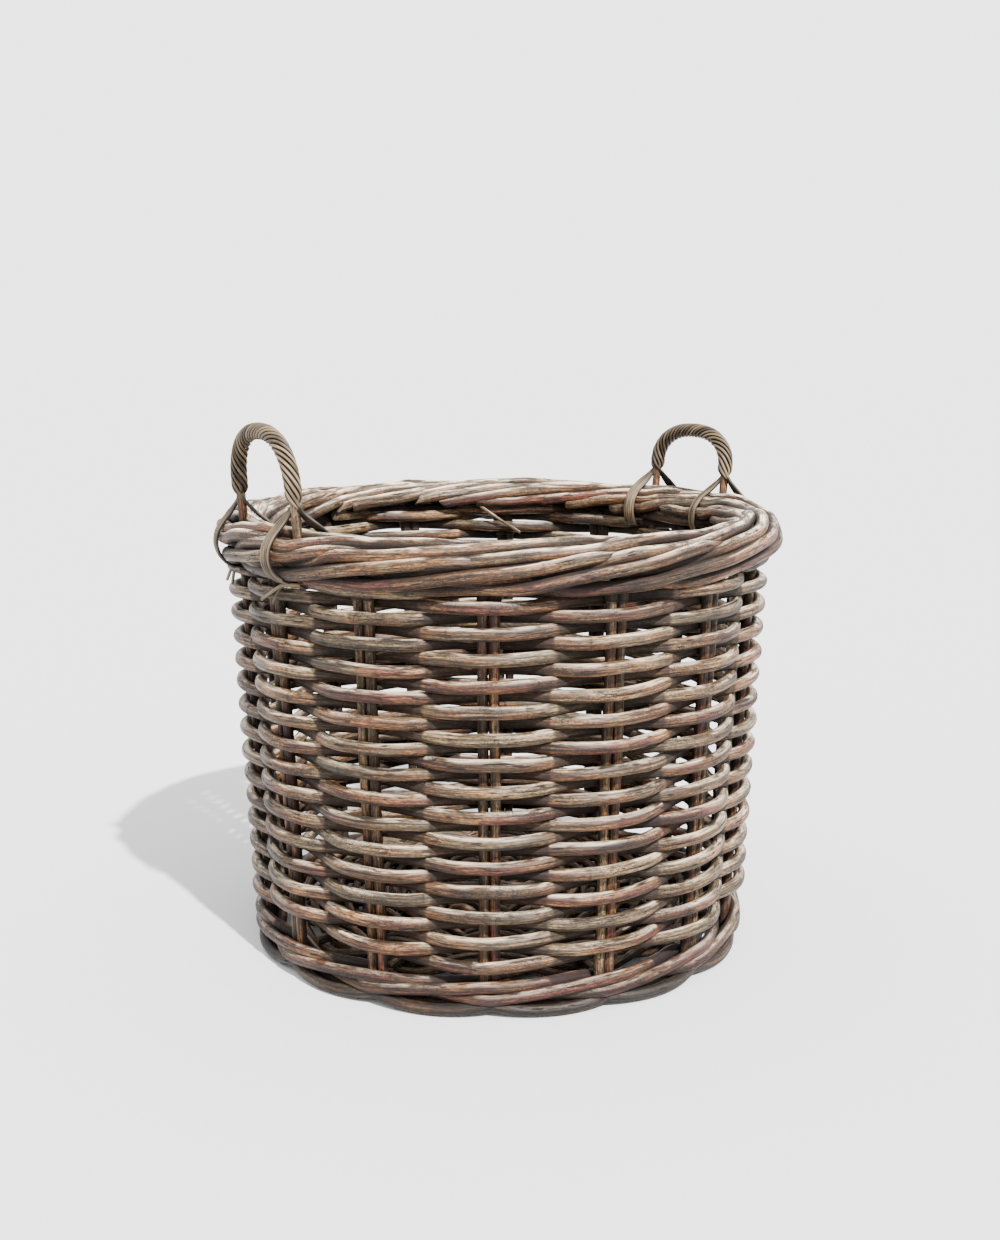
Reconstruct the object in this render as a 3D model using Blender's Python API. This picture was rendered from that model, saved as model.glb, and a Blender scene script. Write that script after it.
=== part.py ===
"""A round wicker log basket: stakes rolled into a border, woven walls, a woven base, two roped handles.

Metres, +Z up. The origin is on the basket's axis at the floor, and the handles stand on -X and +X.
"""

import math

import bmesh
import bpy
from mathutils import Matrix, Vector

NAME = "wicker_log_basket"
GAP = 0.0003

# Stakes: upright rods in pairs, spaced evenly round the basket
PAIRS = 14
STEP = 2 * math.pi / PAIRS
PHASE = math.radians(2.2)
STAKE_DIAMETER = 0.0094
STAKE_FOOT = 0.0118
FOOT_RADIUS = 0.2291
FLARE = 0.0452
ROD_SPREAD = 0.0049

# Wall: two rods woven alternately round the stakes, each made of several lengths end to end
WEAVER_DIAMETER = 0.0110
ROW_PITCH = 0.01135
WALL_FOOT = 0.0460
WEAVER_LENGTHS = (40, 40, 40, 40, 38)
SHOULDER = 0.0070
BUTT_GAP = 0.0012

# Wale: three rods laid outside two stakes and inside one, under the wall
WALE_DIAMETER = 0.0094
WALE_LOW = 0.0172
WALE_HIGH = 0.0290
WALE_ENTER = 0.0272
WALE_LEAVE = 0.0190

# Foot: two rings that the basket rests on
FOOT_ROD_DIAMETER = 0.0110
FOOT_RINGS = {"foot_rod_outer": 0.2395, "foot_rod_inner": 0.2278}

# Rim: each stake's top is rolled round a ring in a long spiral
RIM_RADIUS = 0.2495
RIM_HEIGHT = 0.4005
ROLL_RADIUS = 0.0186
ROLL_START = math.radians(-80)
ROLL_TURN = math.radians(300)
ROLL_SPAN = math.radians(100)
ROLL_LEAD = {"left": -math.radians(11.73), "right": math.radians(1.13)}
TAIL_STEP = math.radians(9.5)

# Where a stake leaves the wall for the rim: the bend's radius, degrees past the stake and height,
# and the degrees past the stake at which it joins the roll
WALL_TOP = 0.3700
ELBOW = {"left": (0.2515, 0.2, 0.3770, 1.9), "right": (0.2484, 0.35, 0.3783, 2.4)}

# Beside a handle's leg the rim's rods part. The leg stands at this angle round the roll. They part
# over this span of the roll, turn this far at most, and over this width of the basket's circle
LEG_ROLL = math.radians(83)
PART_SPAN = math.radians(150)
PART_TURN = math.radians(13)
PART_WIDTH = math.radians(3.2)

# A rod that passes a leg within this turn of the roll is drawn with bends at these angles from it
PART_NEAR = math.radians(75)
PART_BENDS = [math.radians(turn) for turn in (-5.5, -3, -1, 1, 3, 5.5)]
PART_EDGE = math.radians(1)

# Base: seven sticks, four laid over three, fanned out and woven with two thinner rods
BASE_HEIGHT = 0.0265
STICK_DIAMETER = 0.0090
STICK_END = 0.2135
STICK_FAN = 0.062
STICK_CROSS = 0.027
BASE_WEAVER_DIAMETER = 0.0080
BASE_WEAVE = (0.074, 0.2075)
BASE_PITCH = 0.0084

# Handles: a bow pushed down through the border, in a sleeve of twisted cane, bound to the rim
BOW_DIAMETER = 0.0080
WRAP_DIAMETER = 0.0144
BOW_HALF = 0.0535
BOW_FOOT = 0.3765
BOW_SPRING = 0.4568
BOW_TOP = 0.4925
BOW_RADIUS = 0.2480
BOW_LEAN = math.radians(5)
WRAP_FOOT = 0.4460
WRAP_CLEARANCE = 0.0004
BORE_EXTRA = 0.0100
ARCH_SEGMENTS = 12
BINDING_WIDTH = 0.0130
BINDING_THICKNESS = 0.0024
BINDING_SHIFT = math.radians(3.3)
BINDING_ARC = (math.radians(-52), math.radians(212))
BINDING_STEPS = 14

# How finely a rod's section is drawn
SQUARE = 0
ROUND = 1
FINE = 2


def clear_scene():
    for obj in list(bpy.data.objects):
        bpy.data.objects.remove(obj, do_unlink=True)


def make_collection(name):
    made = bpy.data.collections.new(name)
    bpy.context.scene.collection.children.link(made)
    return made


def make_material(name, colour, roughness):
    material = bpy.data.materials.new(name)
    material.use_nodes = True
    shader = material.node_tree.nodes["Principled BSDF"]
    shader.inputs["Base Color"].default_value = (*colour, 1)
    shader.inputs["Roughness"].default_value = roughness
    shader.inputs["Metallic"].default_value = 0
    return material


def polar(radius, angle, height):
    return Vector((radius * math.cos(angle), radius * math.sin(angle), height))


def stake_radius(height):
    """Distance from the axis to the stakes' centre lines, which lean out as they rise."""
    return FOOT_RADIUS + FLARE * height


def rod(name, points, diameter, collection, material, sides=SQUARE, closed=False, tilt=0.0):
    """A rod along straight runs between the points, with flat ends."""
    curve = bpy.data.curves.new(name, "CURVE")
    curve.dimensions = "3D"
    curve.bevel_depth = diameter / 2
    curve.bevel_resolution = sides
    curve.use_fill_caps = not closed
    spline = curve.splines.new("POLY")
    spline.points.add(len(points) - 1)
    for point, place in zip(spline.points, points):
        point.co = (*place, 1)
        point.tilt = tilt
    spline.use_cyclic_u = closed
    spline.use_smooth = True
    curve.materials.append(material)
    made = bpy.data.objects.new(name, curve)
    collection.objects.link(made)
    return made


def as_mesh(obj):
    """The same object as a mesh, its caps welded on, so that it can be cut."""
    bpy.context.view_layer.update()
    evaluated = obj.evaluated_get(bpy.context.evaluated_depsgraph_get())
    mesh = bpy.data.meshes.new_from_object(evaluated)
    edit = bmesh.new()
    edit.from_mesh(mesh)
    bmesh.ops.remove_doubles(edit, verts=edit.verts, dist=1e-5)
    bmesh.ops.recalc_face_normals(edit, faces=edit.faces)
    edit.to_mesh(mesh)
    edit.free()
    name = obj.name
    made = bpy.data.objects.new(name + "_mesh", mesh)
    made.matrix_world = obj.matrix_world.copy()
    for collection in obj.users_collection:
        collection.objects.link(made)
    bpy.data.objects.remove(obj)
    made.name = name
    return made


def bow_angles():
    """The two legs of each handle, as angles round the basket."""
    spread = math.asin(BOW_HALF / RIM_RADIUS)
    return [side + leg * spread for side in (0, math.pi) for leg in (-1, 1)]


def turned(angle):
    """The same angle between -pi and pi."""
    return (angle + math.pi) % (2 * math.pi) - math.pi


def on_roll(angle, roll, reach):
    """The place at this angle round the basket, this angle round the roll and this reach from its middle."""
    return polar(RIM_RADIUS + reach * math.cos(roll), angle, RIM_HEIGHT + reach * math.sin(roll))


def rim_point(angle, roll):
    """A point on the rolled border; its rods part where the legs of the handles go through them."""
    for leg in bow_angles():
        near = math.exp(-((turned(angle - leg) / PART_WIDTH) ** 2))
        away = roll - LEG_ROLL
        share = max(0.0, 1 - abs(away) / PART_SPAN)
        roll += math.copysign(PART_TURN * near * share, away)
    return on_roll(angle, roll, ROLL_RADIUS)


def roll_of(angle, start):
    """How far round the border a stake's tail has rolled, at this angle round the basket."""
    return ROLL_START + ROLL_TURN * (angle - start) / ROLL_SPAN


def tail_angles(first, start):
    """Angles at which a tail is drawn: evenly, and closer together where it passes a handle's leg."""
    last = start + ROLL_SPAN
    count = math.ceil((last - first) / TAIL_STEP)
    angles = [first + (last - first) * i / count for i in range(count + 1)]
    for leg in bow_angles():
        close = first + (leg - first) % (2 * math.pi)
        if close >= last or abs(roll_of(close, start) - LEG_ROLL) >= PART_NEAR:
            continue
        clear = PART_BENDS[-1] + PART_EDGE
        angles = [a for a in angles if abs(a - close) > clear or a in (first, last)]
        bends = [close + bend for bend in PART_BENDS]
        angles += [a for a in bends if first + PART_EDGE < a < last - PART_EDGE]
    return sorted(angles)


def stake_points(pair, side):
    """From the foot up the wall, over into the border and round it to the cut end."""
    centre = PHASE + pair * STEP
    across = ROD_SPREAD if side == "right" else -ROD_SPREAD
    foot = centre + across / stake_radius(STAKE_FOOT)
    head = centre + across / stake_radius(WALL_TOP)
    elbow_radius, elbow_turn, elbow_height, join_turn = ELBOW[side]
    points = [
        polar(stake_radius(STAKE_FOOT), foot, STAKE_FOOT),
        polar(stake_radius(WALL_TOP), head, WALL_TOP),
        polar(elbow_radius, head + math.radians(elbow_turn), elbow_height),
    ]
    start = centre + ROLL_LEAD[side]
    joined = head + math.radians(join_turn)
    return points + [rim_point(a, roll_of(a, start)) for a in tail_angles(joined, start)]


def make_stakes(collection):
    bark = make_material("stake_bark", (0.235, 0.170, 0.115), 0.62)
    for pair in range(PAIRS):
        for side in ("left", "right"):
            name = f"stake_{pair + 1:02d}_{side}"
            rod(name, stake_points(pair, side), STAKE_DIAMETER, collection, bark, ROUND)


def woven_points(stakes, offset_of, height_of):
    """Two points at each stake, one on each side of the pair, in or out of the wall."""
    points = []
    for stake in stakes:
        for side in (-1, 1):
            height = height_of(stake, side)
            radius = stake_radius(height) + offset_of(stake)
            angle = PHASE + stake * STEP + side * SHOULDER / radius
            points.append(polar(radius, angle, height))
    return points


def trim_ends(points, by):
    """The same run with its first and last points moved in by this length."""
    points[0] = points[0] + (points[1] - points[0]).normalized() * by
    points[-1] = points[-1] + (points[-2] - points[-1]).normalized() * by
    return points


def make_weavers(collection):
    bark = make_material("weaver_bark", (0.275, 0.205, 0.145), 0.60)
    swing = STAKE_DIAMETER / 2 + GAP + WEAVER_DIAMETER / 2
    number = 0
    for start in (1, 1 + PAIRS // 2):
        def offset_of(stake):
            return -swing if (stake - start) % 2 == 0 else swing

        def height_of(stake, _side):
            return WALL_FOOT + 2 * ROW_PITCH * (stake - start) / PAIRS

        first = start
        for length in WEAVER_LENGTHS:
            number += 1
            stakes = range(first, first + length + 1)
            points = woven_points(stakes, offset_of, height_of)[1:-1]
            points[0] = (points[0] + woven_points([first], offset_of, height_of)[0]) / 2
            points[-1] = (points[-1] + woven_points([first + length], offset_of, height_of)[1]) / 2
            rod(f"weaver_{number:02d}", trim_ends(points, BUTT_GAP), WEAVER_DIAMETER, collection, bark)
            first += length


def make_wale(collection):
    bark = make_material("wale_bark", (0.230, 0.150, 0.110), 0.60)
    swing = STAKE_DIAMETER / 2 + GAP + WALE_DIAMETER / 2
    heights = {0: (WALE_ENTER, WALE_LEAVE), 1: (WALE_LOW, WALE_LOW), 2: (WALE_HIGH, WALE_HIGH)}

    def offset_of(stake):
        return -swing if stake % 3 == 0 else swing

    def height_of(stake, side):
        return heights[stake % 3][side > 0]

    for number in range(3):
        first = number * PAIRS
        points = woven_points(range(first, first + PAIRS + 1), offset_of, height_of)[1:-1]
        rod(f"wale_rod_{number + 1}", trim_ends(points, BUTT_GAP), WALE_DIAMETER, collection, bark)


def make_foot(collection):
    bark = make_material("foot_bark", (0.120, 0.090, 0.070), 0.70)
    height = FOOT_ROD_DIAMETER / 2 * math.cos(math.radians(30))
    for name, radius in FOOT_RINGS.items():
        points = [polar(radius, PHASE + i * STEP / 2, height) for i in range(2 * PAIRS)]
        rod(name, points, FOOT_ROD_DIAMETER, collection, bark, ROUND, closed=True)


def stick_points(low, high, axis, offset, layer):
    """A base stick from end to end: fanned out, side by side with its group, and fanned out again."""
    def fanned(radius, direction):
        return polar(radius, PHASE + direction * STEP, BASE_HEIGHT)

    along = polar(1, PHASE + axis * STEP, 0)
    across = Vector((-along.y, along.x, 0))
    middle = across * offset + Vector((0, 0, BASE_HEIGHT + layer * (STICK_DIAMETER / 2 + GAP)))
    return [
        fanned(STICK_END, low),
        fanned(STICK_FAN, low),
        middle + along * STICK_CROSS,
        middle - along * STICK_CROSS,
        fanned(STICK_FAN, high),
        fanned(STICK_END, high),
    ]


def make_base(collection):
    bark = make_material("base_bark", (0.200, 0.150, 0.105), 0.66)
    number = 0
    for first, count, layer in ((0, 4, -1), (4, 3, 1)):
        axis = first + (count - 1) / 2
        for i in range(count):
            number += 1
            low = first + i
            high = 2 * axis + PAIRS / 2 - low
            offset = (low - axis) * (STICK_DIAMETER + 2 * GAP)
            points = stick_points(low, high, axis, offset, layer)
            rod(f"base_stick_{number}", points, STICK_DIAMETER, collection, bark, ROUND)
    clear = (STICK_DIAMETER + BASE_WEAVER_DIAMETER) / 2 + GAP
    inner, outer = BASE_WEAVE
    for number in range(2):
        points = []
        passes = int((outer - inner) / (2 * BASE_PITCH) * PAIRS)
        for i in range(passes):
            radius = inner + 2 * BASE_PITCH * i / PAIRS
            stick = i + number * PAIRS // 2
            slope = math.atan(2 * clear / (radius * STEP))
            rise = clear / math.cos(slope) * (1 if i % 2 else -1)
            points.append(polar(radius, PHASE + stick * STEP, BASE_HEIGHT + rise))
        rod(f"base_weaver_{number + 1}", points, BASE_WEAVER_DIAMETER, collection, bark)


def bow_points(foot):
    """Half hoop on two straight legs, in the XZ plane, from one foot to the other."""
    legs = [(-BOW_HALF, foot), (-BOW_HALF, BOW_SPRING)]
    arch = []
    for i in range(1, ARCH_SEGMENTS):
        turn = math.pi * i / ARCH_SEGMENTS
        rise = BOW_TOP - BOW_SPRING
        arch.append((-BOW_HALF * math.cos(turn), BOW_SPRING + rise * math.sin(turn)))
    right = [(BOW_HALF, BOW_SPRING), (BOW_HALF, foot)]
    return [Vector((x, 0, z)) for x, z in legs + arch + right]


def stand_handle(obj, side):
    """Turns a handle piece to its side of the rim and leans it outwards."""
    pivot = Vector((0, 0, BOW_FOOT))
    lean = Matrix.Translation(pivot) @ Matrix.Rotation(BOW_LEAN, 4, "X") @ Matrix.Translation(-pivot)
    out = math.sqrt(BOW_RADIUS**2 - BOW_HALF**2)
    stand = Matrix.Translation((0, -out, 0)) @ lean
    obj.matrix_world = Matrix.Rotation(side + math.pi / 2, 4, "Z") @ stand


def make_handles(collection, cutters):
    core = make_material("handle_core_bark", (0.300, 0.220, 0.140), 0.60)
    cane = make_material("handle_cane", (0.330, 0.265, 0.180), 0.55)
    for side, angle in (("right", 0.0), ("left", math.pi)):
        bow = rod(f"handle_bow_{side}", bow_points(BOW_FOOT), BOW_DIAMETER, collection, core, ROUND)
        wrap = rod(f"handle_wrap_{side}", bow_points(WRAP_FOOT), WRAP_DIAMETER, collection, cane, FINE)
        clear = BOW_DIAMETER + 2 * WRAP_CLEARANCE
        bore_foot = WRAP_FOOT - BORE_EXTRA
        bore = rod(f"wrap_bore_{side}", bow_points(bore_foot), clear, cutters, cane, ROUND)
        wrap = as_mesh(wrap)
        bore = as_mesh(bore)
        for piece in (bow, wrap, bore):
            stand_handle(piece, angle)
        bore.hide_render = True
        bore.display_type = "WIRE"
        cut = wrap.modifiers.new("bore", "BOOLEAN")
        cut.operation = "DIFFERENCE"
        cut.object = bore


def make_bindings(collection):
    """A flat band of cane beside each leg, over the border and down both its faces."""
    cane = make_material("binding_cane", (0.330, 0.265, 0.180), 0.55)
    low, high = BINDING_ARC
    reach = ROLL_RADIUS + STAKE_DIAMETER / 2 + BINDING_THICKNESS / 2 + GAP
    rolls = [low + (high - low) * i / BINDING_STEPS for i in range(BINDING_STEPS + 1)]
    names = ("right_front", "right_back", "left_back", "left_front")
    for name, leg in zip(names, bow_angles()):
        points = [on_roll(leg - BINDING_SHIFT, roll, reach) for roll in rolls]
        name = f"handle_binding_{name}"
        band = rod(name, points, BINDING_THICKNESS, collection, cane, tilt=math.pi / 2)
        band.data.extrude = (BINDING_WIDTH - BINDING_THICKNESS) / 2
        band.data.twist_mode = "MINIMUM"


def main():
    clear_scene()
    parts = make_collection(NAME)
    cutters = make_collection("cutters")
    make_stakes(parts)
    make_weavers(parts)
    make_wale(parts)
    make_foot(parts)
    make_base(parts)
    make_handles(parts, cutters)
    make_bindings(parts)


if __name__ == "__main__":
    main()
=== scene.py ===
"""A round wicker log basket: woven walls, a rolled border, a woven base and two roped handles.

Metres, +Z up. The origin is on the basket's axis at the floor, and the handles stand on -X and +X.
Every rod is a mesh drawn along its centre line. Three attributes travel with it for the materials:
"straight" is where each point would be if the rod were straight, "bark" holds its tone, its warmth,
how far it faces the sky (for bleaching and a painted highlight) and how near it is to a growth ring,
and the third is how dark it is painted where it faces its neighbours: painted shade, with some grime.
"""

import math
import random

import bpy
import numpy as np
from mathutils import Matrix, Vector


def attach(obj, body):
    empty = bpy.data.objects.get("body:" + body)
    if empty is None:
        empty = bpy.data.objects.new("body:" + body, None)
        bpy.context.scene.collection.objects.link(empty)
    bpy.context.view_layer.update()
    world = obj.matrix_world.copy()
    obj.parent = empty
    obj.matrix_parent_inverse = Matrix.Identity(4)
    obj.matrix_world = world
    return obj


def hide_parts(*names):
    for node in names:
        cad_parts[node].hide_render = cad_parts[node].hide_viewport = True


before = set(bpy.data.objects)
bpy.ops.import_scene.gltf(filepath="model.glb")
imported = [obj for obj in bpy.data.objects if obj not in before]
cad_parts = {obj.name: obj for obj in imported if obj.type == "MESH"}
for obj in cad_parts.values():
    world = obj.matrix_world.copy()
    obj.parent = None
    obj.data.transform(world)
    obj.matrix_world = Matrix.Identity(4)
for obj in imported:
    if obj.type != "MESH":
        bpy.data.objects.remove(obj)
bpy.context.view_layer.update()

bl_info = {
    "name": "Wicker Log Basket",
    "version": (1, 0, 0),
    "blender": (4, 5, 0),
    "location": "View3D > Sidebar > Basket",
    "description": "Builds a woven log basket with two roped handles",
    "category": "Object",
}

TURN = 2 * math.pi

# The stakes stand in pairs, the first at PHASE from +X and each stake ROD_SPREAD from its pair's middle,
# and lean out as they rise from FOOT_RADIUS at the floor
PAIRS = 14
STEP = TURN / PAIRS
PHASE = math.radians(2.2)
STAKE_FOOT = 0.0118
FOOT_RADIUS = 0.2291
FLARE = 0.0452
ROD_SPREAD = 0.0049
STAKE_STRAY = 0.0007
STAKE_BEND = 0.0050
WALL_TOP = 0.3790

# The wall: two spirals of rods laid end to end, whose lengths count the pairs that they pass
SPIRAL_STARTS = (1, 1 + PAIRS // 2)
ROW_PITCH = 0.01135
WALL_FOOT = 0.0460
WEAVER_LENGTHS = (40, 40, 40, 40, 38)
WEAVER_CREST = 0.14
BUTT_GAP = 0.0012
# The last rods run on behind the border past RUN_ON pairs. Their climb ends at the height that it
# would reach LEVEL_RUN pairs past the top, and eases off over about LEVEL_OFF
RUN_ON = 22
LEVEL_RUN = 17.5
LEVEL_OFF = 0.0015

# A rod of the wale over three pairs of stakes: how far out it stands, from -1 inside to 1 outside,
# and its height, each against the pairs passed
WALE_SIDE = ((0, 0.12, 0.5, 0.92, 1.5, 2.08, 2.5, 2.88, 3), (-1, -0.97, 0, 1, 0.93, 1, 0, -0.97, -1))
WALE_RISE = ((0, 0.12, 1, 2, 2.88, 3), (0.0231, 0.0190, 0.0172, 0.0290, 0.0272, 0.0231))

# The two rings of strokes that the basket stands on: each one's node, its radius, and how far the
# ends of a stroke stand above its middle and inside it
FOOT_RINGS = (("foot_rod_outer", 0.2400, 0.0085, 0.0085), ("foot_rod_inner", 0.2285, 0.0060, 0.0040))
FOOT_HEIGHT = 0.0061
FOOT_OVERLAP = 0.16
FOOT_STRAY = 0.0006

# The border's roll, which stands RIM_TILT higher than RIM_HEIGHT at RIM_HIGH, and as much lower across
# from it
RIM_RADIUS = 0.2495
RIM_HEIGHT = 0.4005
ROLL_RADIUS = 0.0186
RIM_TILT = 0.0038
RIM_HIGH = math.radians(55)

# How a pair's two tails roll, as degrees past the stake against degrees round the roll, and how far each
# has come up out of the roll: the right one up the outer face, under the top and down the inner face,
# the left one quickly up inside the roll, then over the top and down the inner face
TAIL_ROLL = {
    "right": ((0, 12, 82, 96, 158), (-97, -86, 50, 98, 176)),
    "left": ((0, 8, 20, 122), (-97, -60, 20, 186)),
}
TAIL_SHOWN = {
    "right": ((3, 14, 70, 82, 96, 108), (0, 1, 1, 0.25, 0.25, 1)),
    "left": ((12, 26), (0, 1)),
}
# A tail starts TAIL_JOIN past the top of its stake. Until it comes up it lies TAIL_DEPTH of the roll's
# radius from the roll's middle, and after that about LAYER over or under the others
TAIL_JOIN = math.radians(2.4)
TAIL_DEPTH = 0.42
LAYER = 0.0016
# How the tails differ: the degrees that they're cut early or late, their pace round the roll, the
# degrees by which they come up early or late, and how far they sway round the roll
TAIL_CUT = (-7, 5)
TAIL_PACE = (0.93, 1.07)
TAIL_SHIFT = (-3, 3)
TAIL_SWAY = math.radians(6)
# Beside a leg of a handle, which stands at LEG_ROLL round the roll, the tails within PART_SPAN of it
# are moved up to PART_TURN aside, over about PART_WIDTH of the basket to each side
LEG_ROLL = math.radians(83)
PART_SPAN = math.radians(150)
PART_TURN = math.radians(13)
PART_WIDTH = math.radians(3.2)
# A sliver that hangs loose inside the border, as degrees round the basket, distance from the axis and height
SLIVER_STAKE = "stake_03_left"
SLIVER = ((62.5, 0.2330, 0.4050), (57.0, 0.2240, 0.3900), (49.5, 0.2290, 0.3700))
SLIVER_WIDTH = 0.0032

# The base's sticks, side by side as far as STICK_CROSS and fanned out to the stakes from STICK_FAN.
# Each group of them has its first pair, how many there are, and whether it lies under or over
BASE_HEIGHT = 0.0265
STICK_GROUPS = ((0, 4, -1), (4, 3, 1))
STICK_GAP = 0.0002
STICK_CROSS = 0.027
STICK_FAN = 0.062
STICK_END = 0.2135
# The spirals woven through them, from the first radius to the second
BASE_WEAVE = (0.056, 0.2105)
BASE_PITCH = 0.0084
BASE_CREST = 0.1

# Each handle: its side, its angle round the basket, and how much its arch stands above the even height
HANDLES = (("right", 0.0, -0.003), ("left", math.pi, 0.011))
# A bow has two legs, each BOW_HALF from its middle, and an arch over them from BOW_SPRING to BOW_TOP,
# which is the squarer the less BOW_SQUARE is. The canes are twisted round it above WRAP_FOOT
BOW_HALF = 0.0535
BOW_FOOT = 0.3765
BOW_SPRING = 0.4568
BOW_TOP = 0.4925
BOW_SQUARE = 0.84
BOW_RADIUS = 0.2480
BOW_LEAN = math.radians(5)
BOW_SPREAD = math.asin(BOW_HALF / RIM_RADIUS)
WRAP_FOOT = 0.4460
CANE_GAP = 0.0003
# Where a strand runs after it leaves the rope, as degrees past the leg, degrees round the roll and
# height over the border: in over the border and down its inner face, or out and down its outer face
STRAND_IN = ((0.9, 88, 0.0120), (2.2, 104, 0.0030), (3.1, 132, 0.0), (3.4, 160, 0.0), (3.5, 190, 0.0),
             (3.6, 214, 0.0), (3.9, 232, -0.0020), (4.2, 246, -0.0060))
STRAND_OUT = ((-1.1, 82, 0.0130), (-2.5, 66, 0.0035), (-3.3, 44, 0.0), (-3.5, 20, 0.0), (-3.5, -5, 0.0),
              (-3.3, -28, 0.0), (-2.6, -48, 0.0), (-1.3, -66, -0.0005), (-0.2, -82, -0.0040))
# The short cut ends beside a leg: degrees past the leg, degrees round the roll, and how far the tip of
# each runs on round the basket and drops
STUBS = ((-2.2, -62, -0.030, -0.014), (-3.4, -70, -0.012, -0.016))

# How far along the rod a growth ring's swelling and its dark line spread, and where the mesh follows it
RING_SWELL = 0.0018
RING_LINE = 0.0011
RING_STEPS = (-0.0026, -0.0012, 0.0, 0.0012, 0.0026)
# The rings of a cut end, as shares of its radius with how far each stands out, and how far its middle does
CAP_RINGS = ((0.86, 0.0005), (0.45, 0.0004))
CAP_MIDDLE = 0.0001
# The painted shade and grime on a rod that nothing presses on, and on a cut end
PLAIN_SHADE_AND_GRIME = 0.25
CUT_SHADE_AND_GRIME = 0.3
# How open a rod is in the wall, which sets its painted shade and grime: a weaver where it crosses through,
# and a stake
CROSSING_OPEN = 0.70
STAKE_OPEN = 0.62

# The stage: the way to the key light and how soft its shadows are, and the camera's place and lens
KEY_AZIMUTH = math.radians(265)
KEY_ELEVATION = math.radians(45.5)
KEY_SPREAD = math.radians(1.4)
CAMERA_AZIMUTH = math.radians(235.5)
CAMERA_DISTANCE = 1.4651
CAMERA_HEIGHT = 0.5705
CAMERA_DOWN = 0.1762
CAMERA_LENS = 43.60
CAMERA_SHIFT = 0.0014
FLOOR_HALF = 30.0


# Curves


def polar(radius, angle, height):
    """Points at these distances from the axis, angles and heights, one row each."""
    radius, angle, height = np.broadcast_arrays(radius, angle, height)
    return np.stack((radius * np.cos(angle), radius * np.sin(angle), height), axis=-1)


def stake_radius(height):
    return FOOT_RADIUS + FLARE * height


def unit(vectors):
    """The same directions, each of length one."""
    return vectors / np.maximum(np.linalg.norm(vectors, axis=1), 1e-6)[:, None]


def smooth(share):
    """The same share from 0 to 1, eased at both ends."""
    return share * share * (3 - 2 * share)


def crested(wave, share):
    """The wave with its crests made broader by this share, at the same height."""
    return wave * (1 + share - share * wave * wave)


def lengths_along(points):
    steps = np.linalg.norm(np.diff(points, axis=0), axis=1)
    return np.concatenate(([0.0], np.cumsum(steps)))


def at_lengths(points, along, places):
    """Points of the run at these places, where along holds the length up to each of its own points."""
    return np.stack([np.interp(places, along, points[:, i]) for i in range(3)], axis=1)


def resampled(points, spacing):
    """The same run with points evenly spaced along it."""
    along = lengths_along(points)
    return at_lengths(points, along, np.linspace(0, along[-1], max(3, round(along[-1] / spacing))))


def softened(points, width, spacing=0.002):
    """The run with its bends rounded over about this length, its two ends kept."""
    points = resampled(points, spacing)
    reach = int(3 * width / spacing)
    kernel = np.exp(-0.5 * (np.arange(-reach, reach + 1) * spacing / width) ** 2)
    kernel /= kernel.sum()
    before = 2 * points[0] - points[reach:0:-1]
    after = 2 * points[-1] - points[-2 : -reach - 2 : -1]
    padded = np.concatenate((before, points, after))
    return np.stack([np.convolve(padded[:, i], kernel, "valid") for i in range(3)], axis=1)


def sway(draw, along, size, length):
    """A slow random wander along a rod, about this large, changing over about this length."""
    total = np.zeros_like(along)
    for octave in (1.0, 1.7, 2.9):
        phase = draw.uniform(0, TURN)
        total += np.sin(TURN * along * octave / length + phase) / octave
    # The three waves together seldom reach more than this
    return size * total / 1.6


def carried(tangent):
    """A side direction carried along the run without twisting."""
    up = np.empty_like(tangent)
    start = np.array((0.0, 0.0, 1.0)) if abs(tangent[0][2]) < 0.8 else np.array((1.0, 0.0, 0.0))
    up[0] = start - tangent[0] * (start @ tangent[0])
    up[0] /= np.linalg.norm(up[0])
    for i in range(1, len(tangent)):
        turned = up[i - 1] - tangent[i] * (up[i - 1] @ tangent[i])
        up[i] = turned / np.linalg.norm(turned)
    return up


def stations(length, joints, spacing):
    """Lengths along a rod at which its mesh has a ring of points, closer together at the joints."""
    near = [joints + step for step in RING_STEPS]
    along = np.linspace(0, length, max(4, int(length / spacing)))
    along = np.unique(np.clip(np.concatenate([along, *near]), 0, length))
    return along[np.concatenate(([True], np.diff(along) > 2e-4))]


# Rods


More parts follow.
